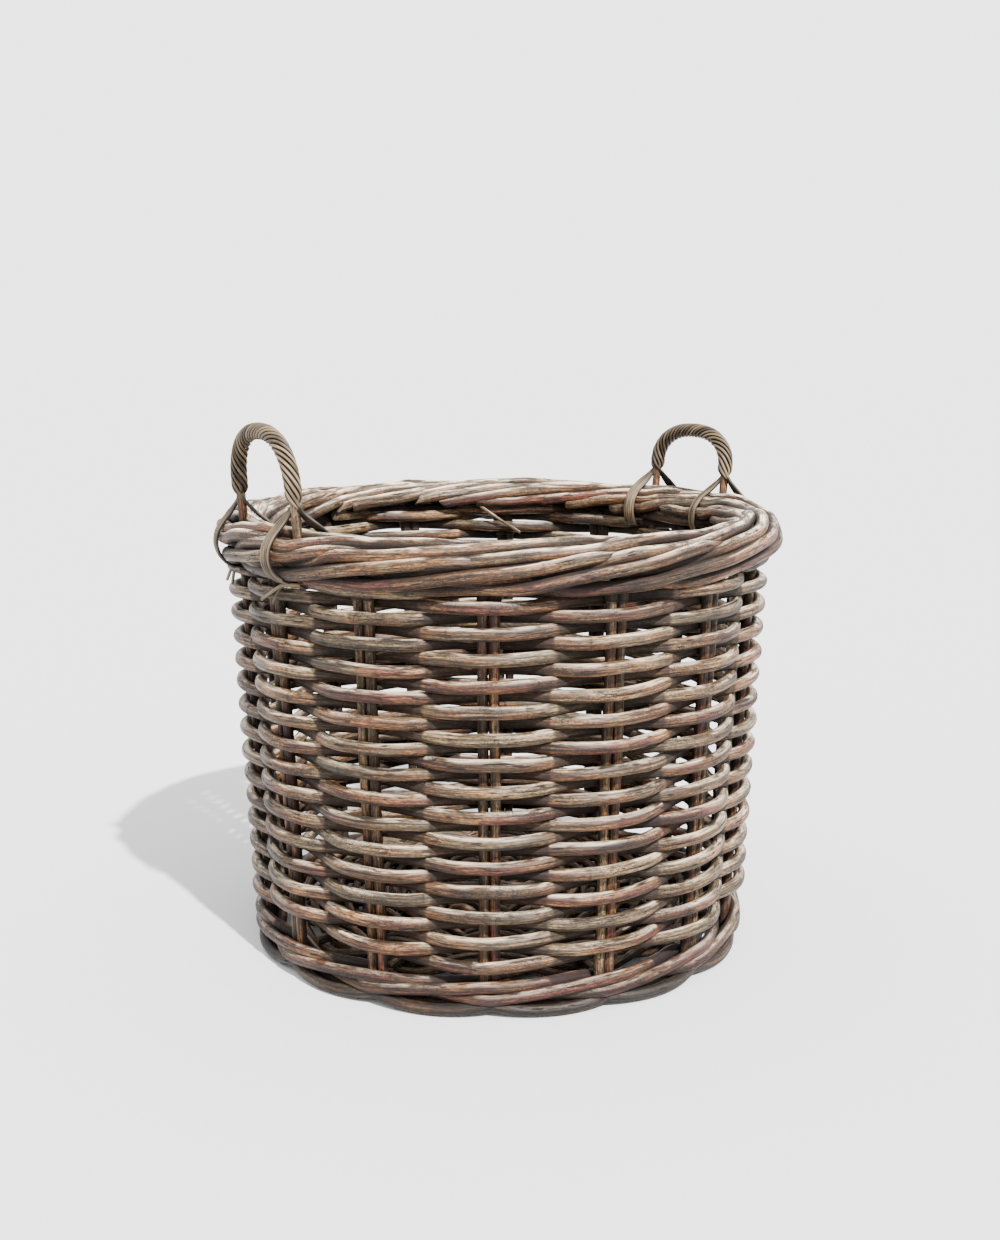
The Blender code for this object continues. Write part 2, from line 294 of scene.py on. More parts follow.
class Rods:
    """Gathers rods into one mesh."""

    def __init__(self, seed):
        self.draw = random.Random(seed)
        self.points, self.faces, self.slots = [], [], []
        self.straight, self.bark, self.painted_shade_and_grime = [], [], []
        self.count = 0

    def joints_along(self, length, spacing):
        """Where the growth rings are: unevenly spaced lengths along the rod."""
        found, place = [], self.draw.uniform(0.1, 1.0) * spacing
        while place < length - 0.006:
            found.append(place)
            place += spacing * self.draw.uniform(0.65, 1.4)
        return np.array(found)

    def tones_along(self, along, joints, tone, warmth):
        """Tone and warmth, which change from one length between rings to the next."""
        edges = np.concatenate((joints, [along[-1] + 1]))
        which = np.searchsorted(edges, along)
        count = len(edges)
        tones = np.array([tone + self.draw.uniform(-0.17, 0.17) for _ in range(count)])
        warmths = np.array([warmth + self.draw.uniform(-0.16, 0.16) for _ in range(count)])
        drift = sway(self.draw, along, 0.34, 0.33), sway(self.draw, along, 0.36, 0.41)
        return np.clip(tones[which] + drift[0], 0, 1), np.clip(warmths[which] + drift[1], 0, 1)

    def oval_along(self, along, turn):
        """How far from round the rod is, at these lengths and angles round it."""
        oval = 1 + 0.022 * np.sin(2 * turn[None, :] + sway(self.draw, along, 2.5, 0.4)[:, None])
        return oval + 0.014 * np.sin(3 * turn[None, :] + sway(self.draw, along, 3.0, 0.3)[:, None])

    def add(self, path, diameter, sides=14, spacing=0.004, rings=0.22, tone=0.5, warmth=0.5,
            slants=(0.0, 0.0), bulge=0.00035, taper=0.0, uneven=0.025, open_to=None,
            dirt=(0.18, 0.73), slot=0):
        """One rod along the path, with growth rings this far apart and its ends cut at these slopes.

        open_to takes the centre line and gives, for each of its points, the way that lies open to
        the air, whose length says how open it is. What faces away is painted darker between these limits:
        painted shade where rods press together, with some grime.
        The rod's side takes the material in this slot, and its ends the one in slot 1.
        """
        whole = lengths_along(path)
        joints = self.joints_along(whole[-1], rings)
        along = stations(whole[-1], joints, spacing)
        centre = at_lengths(path, whole, along)
        tangent = unit(np.gradient(centre, along, axis=0))
        up = carried(tangent)
        side = np.cross(tangent, up)

        away = np.abs(along[:, None] - joints[None, :]).min(axis=1) if len(joints) else along + 1
        radius = diameter / 2 * (1 + taper * (along / whole[-1] - 0.5))
        radius = radius * (1 + sway(self.draw, along, uneven, 0.19))
        radius = radius + bulge * np.exp(-((away / RING_SWELL) ** 2))
        turn = np.arange(sides) * TURN / sides
        reach = radius[:, None] * self.oval_along(along, turn)
        cos, sin = np.cos(turn), np.sin(turn)
        out = cos[None, :, None] * up[:, None, :] + sin[None, :, None] * side[:, None, :]
        shell = centre[:, None, :] + reach[:, :, None] * out
        for end, slant in zip((0, -1), slants):
            lean = reach[end] * np.cos(turn - self.draw.uniform(0, TURN)) * slant
            shell[end] += lean[:, None] * tangent[end]

        # Each rod reads its own stretch of the grain
        offset = self.draw.uniform(0, 40)
        straight = np.empty_like(shell)
        straight[..., 0] = along[:, None] + offset
        straight[..., 1] = reach * cos
        straight[..., 2] = reach * sin
        tones, warmths = self.tones_along(along, joints, tone, warmth)
        bark = np.empty((len(along), sides, 4))
        bark[..., 0] = tones[:, None]
        bark[..., 1] = warmths[:, None]
        bark[..., 2] = np.clip(out[..., 2], 0, 1)
        bark[..., 3] = np.exp(-((away / RING_LINE) ** 2))[:, None]
        # How dark the rod is painted: painted shade on the sides that face its neighbours, with some grime
        painted_shade_and_grime = np.full((len(along), sides), PLAIN_SHADE_AND_GRIME)
        if open_to:
            way = open_to(centre)
            facing = 0.5 + 0.5 * np.einsum("nsk,nk->ns", out, unit(way))
            openness = facing * np.linalg.norm(way, axis=1)[:, None]
            painted_shade_and_grime = 1 - smooth(np.clip((openness - dirt[0]) / (dirt[1] - dirt[0]), 0, 1))
        rims = self.add_shell(shell, straight, bark, painted_shade_and_grime, slot)
        self.add_cap(rims[0], shell[0], straight[0], bark[0], -tangent[0], True)
        self.add_cap(rims[1], shell[-1], straight[-1], bark[-1], tangent[-1], False)

    def add_shell(self, shell, straight, bark, painted_shade_and_grime, slot):
        """Adds a shell of rings, and gives the numbers of the points in its first ring and its last."""
        rows, sides = shell.shape[:2]
        index = self.count + np.arange(rows * sides).reshape(rows, sides)
        a, b = index[:-1], np.roll(index[:-1], -1, axis=1)
        c, d = np.roll(index[1:], -1, axis=1), index[1:]
        quads = np.stack((a, d, c, b), axis=-1).reshape(-1, 4)
        self.faces.extend(quads.tolist())
        self.slots.extend([slot] * len(quads))
        self.points.append(shell.reshape(-1, 3))
        self.straight.append(straight.reshape(-1, 3))
        self.bark.append(bark.reshape(-1, 4))
        self.painted_shade_and_grime.append(painted_shade_and_grime.reshape(-1))
        self.count += rows * sides
        return index[0], index[-1]

    def add_cap(self, rim, ring, straight, bark, outward, at_start):
        """Closes an end with a bevelled lip and a cap whose rings the end grain's material can read."""
        sides = len(ring)
        middle = ring.mean(axis=0)
        for shrink, push in CAP_RINGS:
            inner = middle + (ring - middle) * shrink + push * outward
            self.add_cap_points(inner, straight * (1, shrink, shrink), bark)
        self.add_cap_points(middle[None] + CAP_MIDDLE * outward, straight[:1] * (1, 0, 0), bark[:1])
        lip = self.count - 2 * sides - 1 + np.arange(sides)
        core = lip + sides
        for outer, inside in ((rim, lip), (lip, core)):
            o2, i2 = np.roll(outer, -1), np.roll(inside, -1)
            order = (outer, o2, i2, inside) if at_start else (outer, inside, i2, o2)
            self.faces.extend(np.stack(order, axis=-1).tolist())
        tip = self.count - 1
        for i in range(sides):
            j = (i + 1) % sides
            corner = (core[i], core[j], tip) if at_start else (core[j], core[i], tip)
            self.faces.append([int(v) for v in corner])
        self.slots.extend([1] * (3 * sides))

    def add_cap_points(self, points, straight, bark):
        self.points.append(points)
        self.straight.append(straight)
        self.bark.append(bark)
        self.painted_shade_and_grime.append(np.full(len(points), CUT_SHADE_AND_GRIME))
        self.count += len(points)

    def make(self, name, materials, nodes):
        """Makes the object, which rides on the root body and stands for these nodes."""
        mesh = bpy.data.meshes.new(name)
        mesh.from_pydata(np.concatenate(self.points).tolist(), [], self.faces)
        for material in materials:
            mesh.materials.append(material)
        mesh.polygons.foreach_set("material_index", self.slots)
        mesh.polygons.foreach_set("use_smooth", [True] * len(mesh.polygons))
        straight = mesh.attributes.new("straight", "FLOAT_VECTOR", "POINT")
        straight.data.foreach_set("vector", np.concatenate(self.straight).ravel())
        bark = mesh.attributes.new("bark", "FLOAT_COLOR", "POINT")
        bark.data.foreach_set("color", np.concatenate(self.bark).ravel())
        painted_shade_and_grime = mesh.attributes.new("painted_shade_and_grime", "FLOAT", "POINT")
        painted_shade_and_grime.data.foreach_set("value", np.concatenate(self.painted_shade_and_grime))
        mesh.update()
        made = bpy.data.objects.new(name, mesh)
        bpy.context.scene.collection.objects.link(made)
        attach(made, "root")
        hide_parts(*nodes)
        return made


# Materials

COLOUR, VALUE = "NodeSocketColor", "NodeSocketFloat"

# How each piece's bark differs: how light it is, and how far its sky side is bleached and given a painted
# highlight
BARKS = {
    "bark_stake": {"Shade": 0.80, "Bleach_and_Highlight": 0.0},
    "bark_border": {"Shade": 0.82, "Bleach_and_Highlight": 1.0},
    "bark_weaver": {"Shade": 0.86, "Bleach_and_Highlight": 0.62},
    "bark_wale": {"Shade": 0.70, "Bleach_and_Highlight": 0.35},
    # The foot is painted far darker than the rest: painted shade on the strokes that face the floor under the
    # basket
    "bark_foot": {"Shade": 0.24, "Bleach_and_Highlight": 0.0},
    "bark_base": {"Shade": 0.75, "Bleach_and_Highlight": 0.2},
    "bark_bow": {"Shade": 1.05, "Bleach_and_Highlight": 0.0},
}
# The depth of each finish's fine relief
BARK_DEPTH = 0.0006
CANE_DEPTH = 0.00025
CUT_DEPTH = 0.0003


def add(tree, kind, values=None, **settings):
    """A node with these settings, its inputs set to constants or linked to sockets."""
    node = tree.nodes.new(kind)
    for key, value in settings.items():
        setattr(node, key, value)
    for key, value in (values or {}).items():
        if isinstance(value, bpy.types.NodeSocket):
            tree.links.new(value, node.inputs[key])
        else:
            node.inputs[key].default_value = value
    return node


def calc(tree, operation, a, b=0.0, c=0.0, clamp=False):
    """The result of a Math node."""
    values = {0: a, 1: b, 2: c}
    return add(tree, "ShaderNodeMath", values, operation=operation, use_clamp=clamp).outputs[0]


def blend(tree, share, a, b, kind="MIX"):
    """Colour a with this share of colour b."""
    node = add(tree, "ShaderNodeMix", {0: share, 6: a, 7: b}, data_type="RGBA", blend_type=kind)
    return node.outputs[2]


def ramp(tree, value, low, high, to_low=0.0, to_high=1.0):
    """value from low to high, moved to the range to_low to to_high and held inside it."""
    values = {0: value, 1: low, 2: high, 3: to_low, 4: to_high}
    return add(tree, "ShaderNodeMapRange", values, interpolation_type="SMOOTHSTEP").outputs[0]


def noise(tree, vector, scale, stretch=(1, 1, 1), detail=2.0, rough=0.5):
    """Noise in the rod's straightened space, scale per metre, stretched by these factors."""
    scaled = add(tree, "ShaderNodeVectorMath", {0: vector, 1: stretch}, operation="MULTIPLY")
    values = {"Vector": scaled.outputs[0], "Scale": scale, "Detail": detail, "Roughness": rough}
    return add(tree, "ShaderNodeTexNoise", values).outputs[0]


def new_group(name, inputs, outputs):
    """A node group with these sockets: {name: (kind, default)} in, {name: kind} out."""
    tree = bpy.data.node_groups.new(name, "ShaderNodeTree")
    for key, (kind, default) in inputs.items():
        socket = tree.interface.new_socket(key, in_out="INPUT", socket_type=kind)
        socket.default_value = default
    for key, kind in outputs.items():
        tree.interface.new_socket(key, in_out="OUTPUT", socket_type=kind)
    return tree, add(tree, "NodeGroupInput").outputs, add(tree, "NodeGroupOutput").inputs


def bark_group():
    """Weathered bark: tone and warmth from rod to rod, fibres, specks, scars and growth rings,
    with painted shade where rods press together and a painted highlight on the sky side.
    """
    tree, given, out = new_group(
        "weathered_bark_and_painted_light",
        {
            "Grey": (COLOUR, (0.060, 0.0385, 0.0190, 1)),
            "Tan": (COLOUR, (0.058, 0.0255, 0.0088, 1)),
            "Red": (COLOUR, (0.036, 0.0098, 0.0048, 1)),
            "Dark": (COLOUR, (0.0024, 0.0008, 0.0003, 1)),
            "Pale": (COLOUR, (0.68, 0.55, 0.40, 1)),
            "Shade": (VALUE, 1.0),
            "Bleach_and_Highlight": (VALUE, 0.6),
        },
        {"Colour": COLOUR, "Roughness": VALUE, "Height": VALUE},
    )
    place = add(tree, "ShaderNodeAttribute", attribute_name="straight").outputs["Vector"]
    bark = add(tree, "ShaderNodeAttribute", attribute_name="bark")
    split = add(tree, "ShaderNodeSeparateColor", {0: bark.outputs["Color"]}).outputs
    tone, warmth, skyward, ring = split[0], split[1], split[2], bark.outputs["Alpha"]

    painted_shade_and_grime = add(tree, "ShaderNodeAttribute", attribute_name="painted_shade_and_grime").outputs["Fac"]

    fibre = noise(tree, place, 1.0, (34, 800, 800), 3.0, 0.68)
    streak = noise(tree, place, 1.0, (10, 330, 330), 2.0, 0.55)
    patch = noise(tree, place, 1.0, (30, 120, 120), 3.0, 0.6)
    mottle = noise(tree, place, 1.0, (240, 700, 700), 3.0, 0.68)
    grit = noise(tree, place, 1.0, (800, 1400, 1400), 2.0, 0.7)

    shift = ramp(tree, patch, 0.32, 0.68, -0.30, 0.30)
    warm = calc(tree, "ADD", warmth, shift, clamp=True)
    colour = blend(tree, ramp(tree, warm, 0.15, 0.55), given["Grey"], given["Tan"])
    colour = blend(tree, ramp(tree, warm, 0.60, 0.95), colour, given["Red"])
    # Light and dark along the grain
    light = calc(tree, "MULTIPLY", ramp(tree, streak, 0.38, 0.64, 0.42, 1.75),
                 ramp(tree, fibre, 0.38, 0.64, 0.42, 1.75))
    light = calc(tree, "MULTIPLY", light, ramp(tree, mottle, 0.38, 0.64, 0.50, 1.50))
    light = calc(tree, "MULTIPLY", light, calc(tree, "MULTIPLY_ADD", tone, 0.95, 0.50))
    light = calc(tree, "MULTIPLY", light, given["Shade"])
    grey = add(tree, "ShaderNodeCombineColor", {0: light, 1: light, 2: light}).outputs[0]
    colour = blend(tree, 1.0, colour, grey, "MULTIPLY")
    # The sky side is turned pale: partly bleaching and wear, partly a painted highlight, kept off the painted
    # shade
    bleach_and_highlight = calc(tree, "MULTIPLY", ramp(tree, skyward, 0.40, 1.0), given["Bleach_and_Highlight"])
    bleach_and_highlight = calc(tree, "MULTIPLY", bleach_and_highlight, ramp(tree, patch, 0.42, 0.58))
    bleach_and_highlight = calc(tree, "MULTIPLY", bleach_and_highlight, ramp(tree, fibre, 0.35, 0.60, 0.2, 1.0))
    bleach_and_highlight = calc(tree, "MULTIPLY", bleach_and_highlight, ramp(tree, painted_shade_and_grime, 0.2, 0.6, 1.0, 0.0))
    colour = blend(tree, bleach_and_highlight, colour, given["Pale"])
    # Specks, long scars, the dark line of a growth ring, and painted shade with some grime where rods press
    # together
    dirty = ramp(tree, noise(tree, place, 1.0, (22, 70, 70), 2.0), 0.44, 0.62)
    speck = calc(tree, "MULTIPLY", ramp(tree, grit, 0.50, 0.57), dirty)
    scar = ramp(tree, noise(tree, place, 1.0, (60, 460, 460), 1.0), 0.65, 0.71)
    mark = calc(tree, "MAXIMUM", calc(tree, "MULTIPLY", speck, 0.85), calc(tree, "MULTIPLY", scar, 0.9))
    mark = calc(tree, "MAXIMUM", mark, calc(tree, "MULTIPLY", ring, ramp(tree, mottle, 0.3, 0.6, 0.1, 0.6)))
    grime_and_shade = calc(tree, "MULTIPLY", painted_shade_and_grime, ramp(tree, streak, 0.3, 0.7, 0.75, 1.0))
    mark = calc(tree, "MAXIMUM", mark, calc(tree, "MULTIPLY", grime_and_shade, 0.93))
    colour = blend(tree, mark, colour, given["Dark"])
    tree.links.new(colour, out["Colour"])

    gloss = ramp(tree, streak, 0.3, 0.7, 0.58, 0.40)
    gloss = calc(tree, "ADD", gloss, calc(tree, "MULTIPLY", mark, 0.35))
    tree.links.new(calc(tree, "ADD", gloss, calc(tree, "MULTIPLY", bleach_and_highlight, 0.15), clamp=True),
                   out["Roughness"])
    height = calc(tree, "ADD", calc(tree, "MULTIPLY", fibre, 0.8), calc(tree, "MULTIPLY", mottle, 0.6))
    height = calc(tree, "ADD", height, calc(tree, "MULTIPLY", streak, 0.7))
    height = calc(tree, "SUBTRACT", height, calc(tree, "MULTIPLY", speck, 0.45))
    height = calc(tree, "SUBTRACT", height, calc(tree, "MULTIPLY", scar, 0.6))
    tree.links.new(height, out["Height"])
    return tree


def cane_group():
    """Thin split cane: smooth and tan, with darker streaks along it."""
    tree, given, out = new_group(
        "split_cane",
        {
            "Light": (COLOUR, (0.170, 0.120, 0.066, 1)),
            "Deep": (COLOUR, (0.017, 0.0095, 0.0042, 1)),
            "Dark": (COLOUR, (0.0028, 0.0014, 0.0006, 1)),
        },
        {"Colour": COLOUR, "Roughness": VALUE, "Height": VALUE},
    )
    place = add(tree, "ShaderNodeAttribute", attribute_name="straight").outputs["Vector"]
    bark = add(tree, "ShaderNodeAttribute", attribute_name="bark")
    split = add(tree, "ShaderNodeSeparateColor", {0: bark.outputs["Color"]}).outputs
    fibre = noise(tree, place, 1.0, (30, 2600, 2600), 2.0, 0.6)
    streak = noise(tree, place, 1.0, (26, 900, 900), 2.0, 0.55)
    patch = noise(tree, place, 1.0, (60, 150, 150), 3.0, 0.6)
    mix = calc(tree, "MULTIPLY_ADD", split[0], 0.9, calc(tree, "MULTIPLY_ADD", patch, 1.3, -0.75))
    mix = calc(tree, "ADD", mix, calc(tree, "MULTIPLY_ADD", streak, 0.9, -0.45), clamp=True)
    colour = blend(tree, mix, given["Deep"], given["Light"])
    grain = calc(tree, "MULTIPLY_ADD", fibre, 0.7, 0.65)
    grey = add(tree, "ShaderNodeCombineColor", {0: grain, 1: grain, 2: grain}).outputs[0]
    colour = blend(tree, 1.0, colour, grey, "MULTIPLY")
    # Painted shade in the grooves between strands and on the side against the bow, with some grime
    painted_shade_and_grime = add(tree, "ShaderNodeAttribute", attribute_name="painted_shade_and_grime").outputs["Fac"]
    mark = ramp(tree, noise(tree, place, 1.0, (260, 900, 900), 2.0), 0.66, 0.74, 0.0, 0.7)
    mark = calc(tree, "MAXIMUM", mark, calc(tree, "MULTIPLY", painted_shade_and_grime, 0.95))
    colour = blend(tree, mark, colour, given["Dark"])
    tree.links.new(colour, out["Colour"])
    tree.links.new(calc(tree, "MULTIPLY_ADD", patch, 0.25, 0.38), out["Roughness"])
    tree.links.new(calc(tree, "ADD", fibre, calc(tree, "MULTIPLY", streak, 0.8)), out["Height"])
    return tree


def cut_group():
    """The cut end of a rod: dull open-pored wood."""
    tree, given, out = new_group(
        "cut_end",
        {"Wood": (COLOUR, (0.13, 0.092, 0.055, 1)), "Pore": (COLOUR, (0.014, 0.009, 0.005, 1))},
        {"Colour": COLOUR, "Roughness": VALUE, "Height": VALUE},
    )
    place = add(tree, "ShaderNodeAttribute", attribute_name="straight").outputs["Vector"]
    pore = ramp(tree, noise(tree, place, 1.0, (1, 2600, 2600), 2.0, 0.6), 0.46, 0.60)
    stain = noise(tree, place, 1.0, (3, 300, 300), 2.0)
    deep = calc(tree, "MULTIPLY", pore, 0.45)
    share = calc(tree, "ADD", deep, calc(tree, "MULTIPLY", stain, 0.6), clamp=True)
    tree.links.new(blend(tree, share, given["Wood"], given["Pore"]), out["Colour"])
    tree.links.new(calc(tree, "MULTIPLY_ADD", pore, 0.1, 0.8), out["Roughness"])
    tree.links.new(calc(tree, "MULTIPLY", pore, -1.0), out["Height"])
    return tree


def make_material(name, group, depth, changes=None):
    """A material whose colour, roughness and fine relief come from the group."""
    material = bpy.data.materials.new(name)
    material.use_nodes = True
    tree = material.node_tree
    tree.nodes.clear()
    look = add(tree, "ShaderNodeGroup", node_tree=group)
    for key, value in (changes or {}).items():
        look.inputs[key].default_value = value
    bump = add(tree, "ShaderNodeBump", {"Strength": 0.8, "Distance": depth, "Height": look.outputs["Height"]})
    shader = add(
        tree,
        "ShaderNodeBsdfPrincipled",
        {
            "Base Color": look.outputs["Colour"],
            "Roughness": look.outputs["Roughness"],
            "Normal": bump.outputs[0],
            "Metallic": 0.0,
            "Specular IOR Level": 0.24,
        },
    )
    add(tree, "ShaderNodeOutputMaterial", {"Surface": shader.outputs[0]})
    return material


def made_materials():
    """All the file's materials, with every material of the basket made once and shared."""
    if "bark_weaver" in bpy.data.materials:
        return bpy.data.materials
    bark, cane, cut = bark_group(), cane_group(), cut_group()
    for name, changes in BARKS.items():
        make_material(name, bark, BARK_DEPTH, changes)
    make_material("cane_strand", cane, CANE_DEPTH)
    make_material("cut_end", cut, CUT_DEPTH)
    return bpy.data.materials


def picked(*names):
    """These materials, made first if they aren't there yet."""
    made = made_materials()
    return [made[name] for name in names]


# Settings


class BasketWall(bpy.types.PropertyGroup):
    weaver: bpy.props.FloatProperty(
        name="Weaver", description="Diameter of the wall's woven rods", default=0.0114, unit="LENGTH")
    wander: bpy.props.FloatProperty(
        name="Wander", description="How far a rod strays from its even course", default=0.0010, unit="LENGTH")
    wale: bpy.props.FloatProperty(
        name="Wale", description="Diameter of the rods under the wall", default=0.0108, unit="LENGTH")


class BasketStakes(bpy.types.PropertyGroup):
    stake: bpy.props.FloatProperty(
        name="Stake", description="Diameter of an upright rod in the wall", default=0.0096, unit="LENGTH")
    border: bpy.props.FloatProperty(
        name="Border", description="Diameter of a rod in the border", default=0.0117, unit="LENGTH")
    wander: bpy.props.FloatProperty(
        name="Wander", description="How far the border's rods stray", default=0.0013, unit="LENGTH")


class BasketBase(bpy.types.PropertyGroup):
    stick: bpy.props.FloatProperty(
        name="Stick", description="Diameter of a base stick", default=0.0092, unit="LENGTH")
    weaver: bpy.props.FloatProperty(
        name="Base weaver", description="Diameter of the base's woven rods", default=0.0082, unit="LENGTH")
    foot: bpy.props.FloatProperty(
        name="Foot", description="Diameter of the rods the basket stands on", default=0.0110, unit="LENGTH")


class BasketHandles(bpy.types.PropertyGroup):
    strands: bpy.props.IntProperty(
        name="Strands", description="Canes twisted round each bow", default=9, min=5, max=14)
    strand: bpy.props.FloatProperty(
        name="Strand", description="Diameter of one cane", default=0.0031, unit="LENGTH")
    rope: bpy.props.FloatProperty(
        name="Rope", description="Diameter over the twisted canes", default=0.0157, unit="LENGTH")
    bow: bpy.props.FloatProperty(
        name="Bow", description="Diameter of the bent rod inside", default=0.0084, unit="LENGTH")
    pitch_leg: bpy.props.FloatProperty(
        name="Pitch at the legs", description="Length of one twist low down", default=0.076, unit="LENGTH")
    pitch_top: bpy.props.FloatProperty(
        name="Pitch at the top", description="Length of one twist at the top", default=0.047, unit="LENGTH")


class BasketStage(bpy.types.PropertyGroup):
    floor: bpy.props.FloatVectorProperty(
        name="Floor", description="Colour of the floor", default=(0.437, 0.437, 0.437), subtype="COLOR")
    key: bpy.props.FloatProperty(name="Key light", description="Strength of the key light", default=19.0)
    sky: bpy.props.FloatProperty(name="Sky", description="Strength of the light from all round", default=3.4)


SETTINGS = {
    "basket_wall": BasketWall,
    "basket_stakes": BasketStakes,
    "basket_base": BasketBase,
    "basket_handles": BasketHandles,
    "basket_stage": BasketStage,
}


# Paths


def leg_angles():
    """Where the legs of both handles stand round the basket."""
    return [angle + leg * BOW_SPREAD for _, angle, _ in HANDLES for leg in (-1, 1)]


def on_roll(angle, roll, reach):
    """Places this far from the middle of the roll, at these angles round the basket and the roll."""
    height = RIM_HEIGHT + RIM_TILT * np.cos(angle - RIM_HIGH)
    return polar(RIM_RADIUS + reach * np.cos(roll), angle, height + reach * np.sin(roll))


def parted(angle, roll):
    """The same angles round the roll, moved apart beside the handles' legs."""
    for leg in leg_angles():
        turned = (angle - leg + math.pi) % TURN - math.pi
        near = np.exp(-((turned / PART_WIDTH) ** 2))
        away = roll - LEG_ROLL
        share = np.maximum(0.0, 1 - np.abs(away) / PART_SPAN)
        roll = roll + np.sign(away) * PART_TURN * near * share
    return roll


def tail_path(draw, joined, start, side, wander):
    """A stake's tail round the border, from the angle where it joins to its cut end."""
    runs, rolls = TAIL_ROLL[side]
    last = start + math.radians(runs[-1] + draw.uniform(*TAIL_CUT))
    angle = np.linspace(joined, last, 260)
    run = np.degrees(angle - start)
    roll = np.radians(np.interp(run * draw.uniform(*TAIL_PACE), runs, rolls))
    roll = roll + sway(draw, angle, TAIL_SWAY, math.radians(60))
    # It comes out from under its neighbours, rides over them and goes back under
    out = smooth(np.interp(run + draw.uniform(*TAIL_SHIFT), *TAIL_SHOWN[side]))
    reach = ROLL_RADIUS * (TAIL_DEPTH + (1 - TAIL_DEPTH) * out)
    reach = reach + sway(draw, angle, LAYER, math.radians(50)) * out
    reach = reach + sway(draw, angle, wander * 0.5, math.radians(25))
    return on_roll(angle, parted(angle, roll), reach)


def stake_path(draw, pair, side, wander):
    """From the foot up the wall, over into the border and round it to the cut end."""
    centre = PHASE + pair * STEP
    across = ROD_SPREAD if side == "right" else -ROD_SPREAD
    height = np.linspace(STAKE_FOOT, WALL_TOP, 40)
    stray = sway(draw, height, STAKE_STRAY, 0.25)
    wall = polar(stake_radius(height), centre + (across + stray) / stake_radius(height), height)
    head = centre + across / stake_radius(WALL_TOP)
    tail = tail_path(draw, head + TAIL_JOIN, centre, side, wander)
    return softened(np.concatenate((wall, tail)), STAKE_BEND)


def weaver_path(draw, start, first, length, wander, swing):
    """One length of the wall's spiral, in and out of the pairs of stakes."""
    top = sum(WEAVER_LENGTHS)
    more = RUN_ON if first + length == start + top else 0
    stake = np.linspace(first, first + length + more, (length + more) * 26)
    run = (stake - first) * STEP * FOOT_RADIUS
    wave = crested(-np.cos(math.pi * (stake - start)), WEAVER_CREST)
    height = WALL_FOOT + 2 * ROW_PITCH * (stake - start) / PAIRS
    # The last length runs on behind the border, at the end level
    level = WALL_FOOT + 2 * ROW_PITCH * (top + LEVEL_RUN) / PAIRS
    height = level - np.logaddexp(0, (level - height) / LEVEL_OFF) * LEVEL_OFF
    height = height + sway(draw, run, wander, 0.37) + sway(draw, run, wander * 0.6, 0.13)
    reach = swing * wave * (1 + sway(draw, run, 0.07, 0.5))
    path = polar(stake_radius(height) + reach, PHASE + stake * STEP, height)
    along = lengths_along(path)
    return path[(along > BUTT_GAP) & (along < along[-1] - BUTT_GAP)]


def wale_path(draw, number, swing, wander):
    """One turn of the wale: outside two pairs of stakes and inside the third."""
    first = number * PAIRS
    stake = np.linspace(first, first + PAIRS, PAIRS * 30)
    step = stake % 3
    side = np.interp(step, *WALE_SIDE)
    rise = np.interp(step, *WALE_RISE)
    run = (stake - first) * STEP * FOOT_RADIUS
    height = rise + sway(draw, run, wander * 0.5, 0.3)
    path = polar(stake_radius(height) + side * swing, PHASE + stake * STEP, height)
    return softened(path, 0.007)[1:-1]


def foot_paths(draw, radius, lift, spread):
    """Short overlapping strokes under the wale, each from one pair of stakes to past the next."""
    for i in range(PAIRS):
        t = np.linspace(-FOOT_OVERLAP, 1 + FOOT_OVERLAP, 60)
        bow = np.sin(math.pi * np.clip((t + FOOT_OVERLAP) / (1 + 2 * FOOT_OVERLAP), 0, 1)) ** 0.8
        height = FOOT_HEIGHT + lift * (1 - bow)
        reach = radius - spread * (1 - bow) + draw.uniform(-FOOT_STRAY, FOOT_STRAY)
        yield softened(polar(reach, PHASE + (i + t) * STEP, height), 0.006)


def stick_path(low, high, axis, offset, layer, diameter):
    """A base stick from end to end: fanned out, side by side with its group, and fanned out again."""
    along = polar(1.0, PHASE + axis * STEP, 0.0)
    across = np.array((-along[1], along[0], 0.0))
    middle = across * offset + np.array((0.0, 0.0, BASE_HEIGHT + layer * diameter / 2))
    points = [
        polar(STICK_END, PHASE + low * STEP, BASE_HEIGHT),
        polar(STICK_FAN, PHASE + low * STEP, BASE_HEIGHT),
        middle + along * STICK_CROSS,
        middle - along * STICK_CROSS,
        polar(STICK_FAN, PHASE + high * STEP, BASE_HEIGHT),
        polar(STICK_END, PHASE + high * STEP, BASE_HEIGHT),
    ]
    return softened(np.array(points), 0.007)


def base_weaver_path(draw, number, clear):
    """A flat spiral through the base sticks, over one and under the next."""
    inner, outer = BASE_WEAVE
    passes = int((outer - inner) / (2 * BASE_PITCH) * PAIRS)
    step = np.linspace(0, passes - 1, passes * 14)
    run = step * 0.06
    radius = inner + 2 * BASE_PITCH * step / PAIRS + sway(draw, run, 0.0005, 0.3)
    height = BASE_HEIGHT + clear * crested(-np.cos(math.pi * step), BASE_CREST)
    return polar(radius, PHASE + (step + number * PAIRS // 2) * STEP, height)


def bow_path(foot, raised):
    """The bow's centre line in its own plane: up one leg, over the arch and down the other."""
    rise = np.linspace(foot, BOW_SPRING, 30)[:-1]
    turn = np.linspace(0, math.pi, 90)
    arch = BOW_SPRING + (BOW_TOP + raised - BOW_SPRING) * np.sin(turn)
    across = -BOW_HALF * np.sign(np.cos(turn)) * np.abs(np.cos(turn)) ** BOW_SQUARE
    x = np.concatenate((np.full_like(rise, -BOW_HALF), across, np.full_like(rise, BOW_HALF)))
    z = np.concatenate((rise, arch, rise[::-1]))
    return np.stack((x, np.zeros_like(x), z), axis=1)


